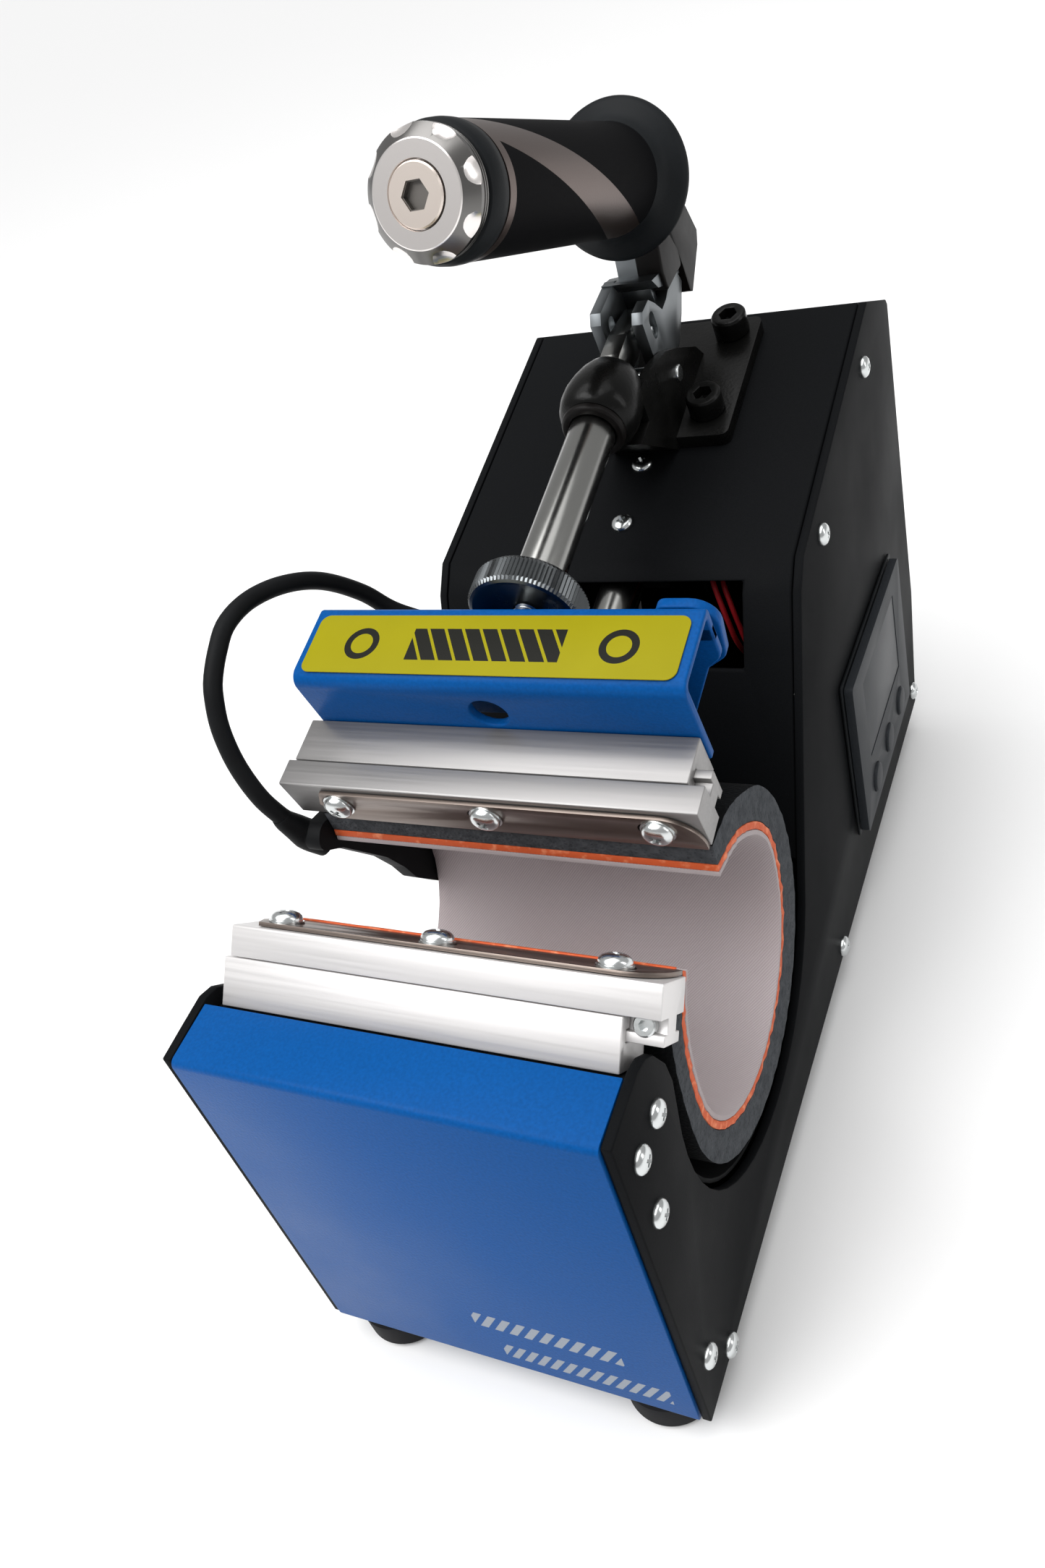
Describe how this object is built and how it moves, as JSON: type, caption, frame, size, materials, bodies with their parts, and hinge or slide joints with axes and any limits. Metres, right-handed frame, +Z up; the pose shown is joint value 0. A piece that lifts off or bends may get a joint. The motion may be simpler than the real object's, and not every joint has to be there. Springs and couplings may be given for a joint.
{
  "type": "mug heat press",
  "caption": "Bench heat press for mugs: a flexible heater wrap closed by a push-pull toggle lever and a sliding blue pressure bracket.",
  "frame": {"origin": "centre of the bounding box's footprint, at the underside of the feet", "axes": "+Z up, +Y from the blue front towards the rear, +X towards the control panel side"},
  "size_m": [0.1596, 0.3656, 0.339],
  "materials": {
    "powder_black": "fine textured powder coat",
    "powder_blue": "satin powder coat",
    "foot_rubber": "matte",
    "bar_aluminium": "fine brushed",
    "strip_steel": "bright rolled",
    "lining_fabric": "fine twill weave",
    "heater_silicone": "matte silicone",
    "wrap_foam": "speckled silicone foam",
    "cast_black": "glossy black enamel",
    "bright_steel": "polished",
    "zinc_steel": "satin zinc plate",
    "label_vinyl": "satin vinyl",
    "grip_rubber": "satin moulded",
    "black_plastic": "moulded",
    "panel_plastic": "satin",
    "window_glass": "clear",
    "rocker_red": "gloss",
    "board_green": "coated"
  },
  "bodies": {
    "base": {"barrel_ring": "cast_black", "base_plate": "powder_black", "cable_gland": "black_plastic", "clamp_base": "cast_black", "clamp_screw_front_left": "cast_black", "clamp_screw_front_right": "cast_black", "clamp_screw_rear_left": "cast_black", "clamp_screw_rear_right": "cast_black", "control_panel": "panel_plastic", "controller_board": "board_green", "display_window": "window_glass", "foot_front_left": "foot_rubber", "foot_front_right": "foot_rubber", "foot_rear_left": "foot_rubber", "foot_rear_right": "foot_rubber", "front_clamp_strip": "strip_steel", "front_cover": "powder_blue", "front_fixed_bar": "bar_aluminium", "front_heater_bar": "bar_aluminium", "front_jaw_beam": "powder_black", "guide_block": "black_plastic", "heater_cable": "grip_rubber", "heater_tray": "powder_black", "left_side_plate": "powder_black", "lever_pivot_pin": "bright_steel", "panel_gasket": "grip_rubber", "power_inlet": "black_plastic", "rear_cover": "powder_black", "right_side_plate": "powder_black", "solid_state_relay": "black_plastic", "switch_body": "black_plastic", "top_cover": "powder_black", "wrap_foam": "wrap_foam", "wrap_heater": "heater_silicone", "wrap_lining": "lining_fabric"},
    "carriage": {"plunger": "bright_steel", "plunger_pin": "bright_steel", "jaw_stud": "bright_steel", "nut_washer": "zinc_steel", "stud_nut": "zinc_steel", "pressure_bracket": "powder_blue", "carriage_plate": "powder_blue", "guide_rod": "bright_steel", "label_plate": "label_vinyl", "rear_fixed_bar": "bar_aluminium", "rear_heater_bar": "bar_aluminium", "rear_clamp_strip": "strip_steel", "connector_housing": "black_plastic"},
    "nut": {"pressure_nut": "bright_steel"},
    "handle": {"lever_yoke": "zinc_steel", "lever_arm": "cast_black", "grip_bolt": "bright_steel", "grip_collar": "grip_rubber", "grip_end_cap": "bar_aluminium", "grip_flange": "grip_rubber", "grip_sleeve": "grip_rubber"},
    "rocker": {"switch_rocker": "rocker_red"},
    "key_1": {"panel_key_1": "black_plastic"},
    "key_2": {"panel_key_2": "black_plastic"},
    "key_3": {"panel_key_3": "black_plastic"}
  },
  "joints": [
    {"name": "handle_lever", "type": "hinge", "parent": "base", "child": "handle", "pos_m": [0.00171, 0.0891, 0.22052], "axis": [1, 0, 0], "range_deg": [-26, 33]},
    {"name": "carriage_slide", "type": "slide", "parent": "base", "child": "carriage", "axis": [0, -0.9604, -0.2785], "range_m": [-0.0104, 0.0131], "deforming": ["wrap_lining", "wrap_heater", "wrap_foam", "heater_cable"]},
    {"name": "nut_turn", "type": "hinge", "parent": "carriage", "child": "nut", "pos_m": [0.00171, -0.03486, 0.20457], "axis": [0, 0.9604, 0.2785], "continuous": true},
    {"name": "power_rocker", "type": "hinge", "parent": "base", "child": "rocker", "pos_m": [0.02371, 0.1762, 0.091], "axis": [-1, 0, 0], "range_deg": [0, 16]},
    {"name": "key_1_press", "type": "slide", "parent": "base", "child": "key_1", "axis": [-1, 0, 0], "range_m": [0, 0.0012], "stiffness_N_per_m": 300},
    {"name": "key_2_press", "type": "slide", "parent": "base", "child": "key_2", "axis": [-1, 0, 0], "range_m": [0, 0.0012], "stiffness_N_per_m": 300},
    {"name": "key_3_press", "type": "slide", "parent": "base", "child": "key_3", "axis": [-1, 0, 0], "range_m": [0, 0.0012], "stiffness_N_per_m": 300}
  ],
  "couplings": [
    {"joint": "carriage_slide", "follows": "handle_lever", "m_per_rad": 0.0223}
  ]
}
